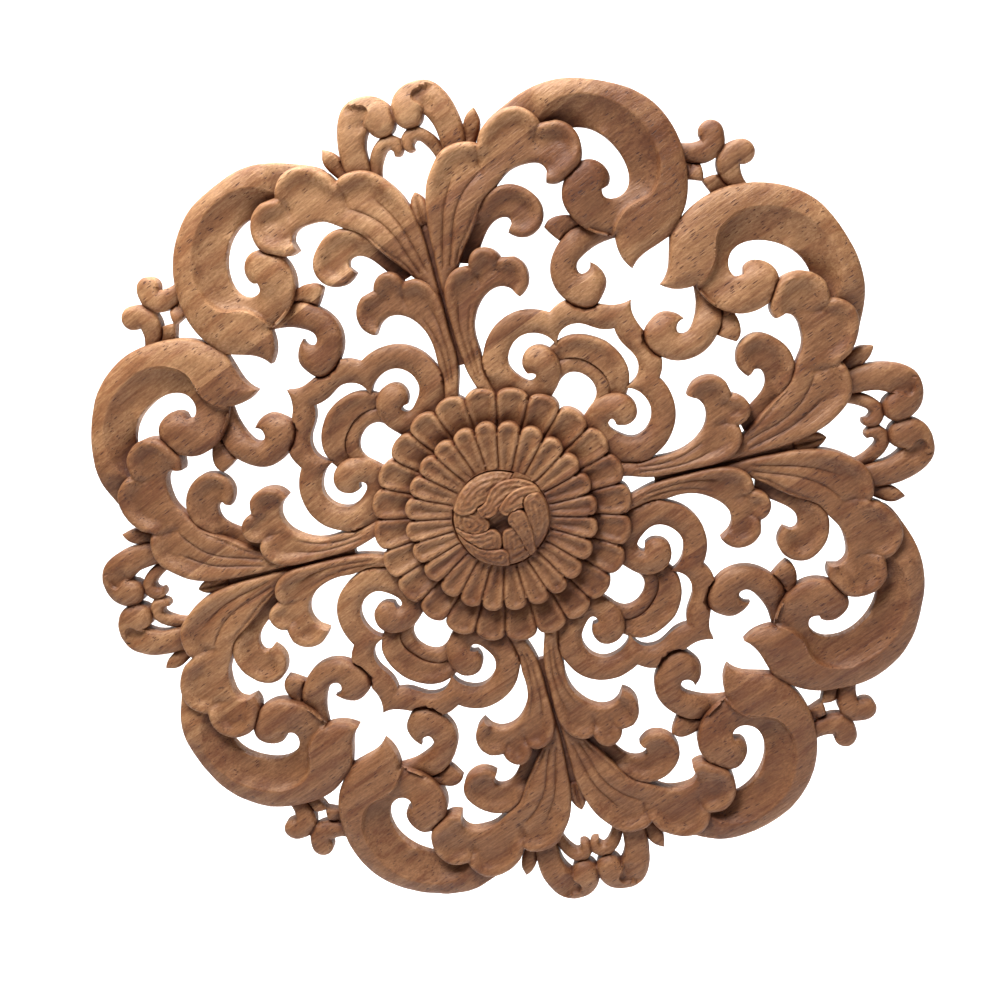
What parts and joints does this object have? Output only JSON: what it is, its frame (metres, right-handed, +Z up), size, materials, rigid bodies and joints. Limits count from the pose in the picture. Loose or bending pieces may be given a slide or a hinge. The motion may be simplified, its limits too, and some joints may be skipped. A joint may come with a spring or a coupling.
{
  "type": "wood applique",
  "caption": "Carved openwork rosette in bare wood: a ring of mirrored scrolls, fans and crescents around a layered flower, flat on its back for fixing to a surface.",
  "frame": {"origin": "centre of the flat back face, which lies in the plane Y = 0", "axes": "+Y out of the back, so the carved face looks along -Y; +Z up through a pair of mirrored crooks; +X to the right seen from the carved side"},
  "size_m": [0.501, 0.02, 0.501],
  "materials": {
    "rubberwood": "bare sanded hardwood, mid brown, matt"
  },
  "bodies": {
    "root": {"wood_applique": "rubberwood"}
  },
  "joints": []
}
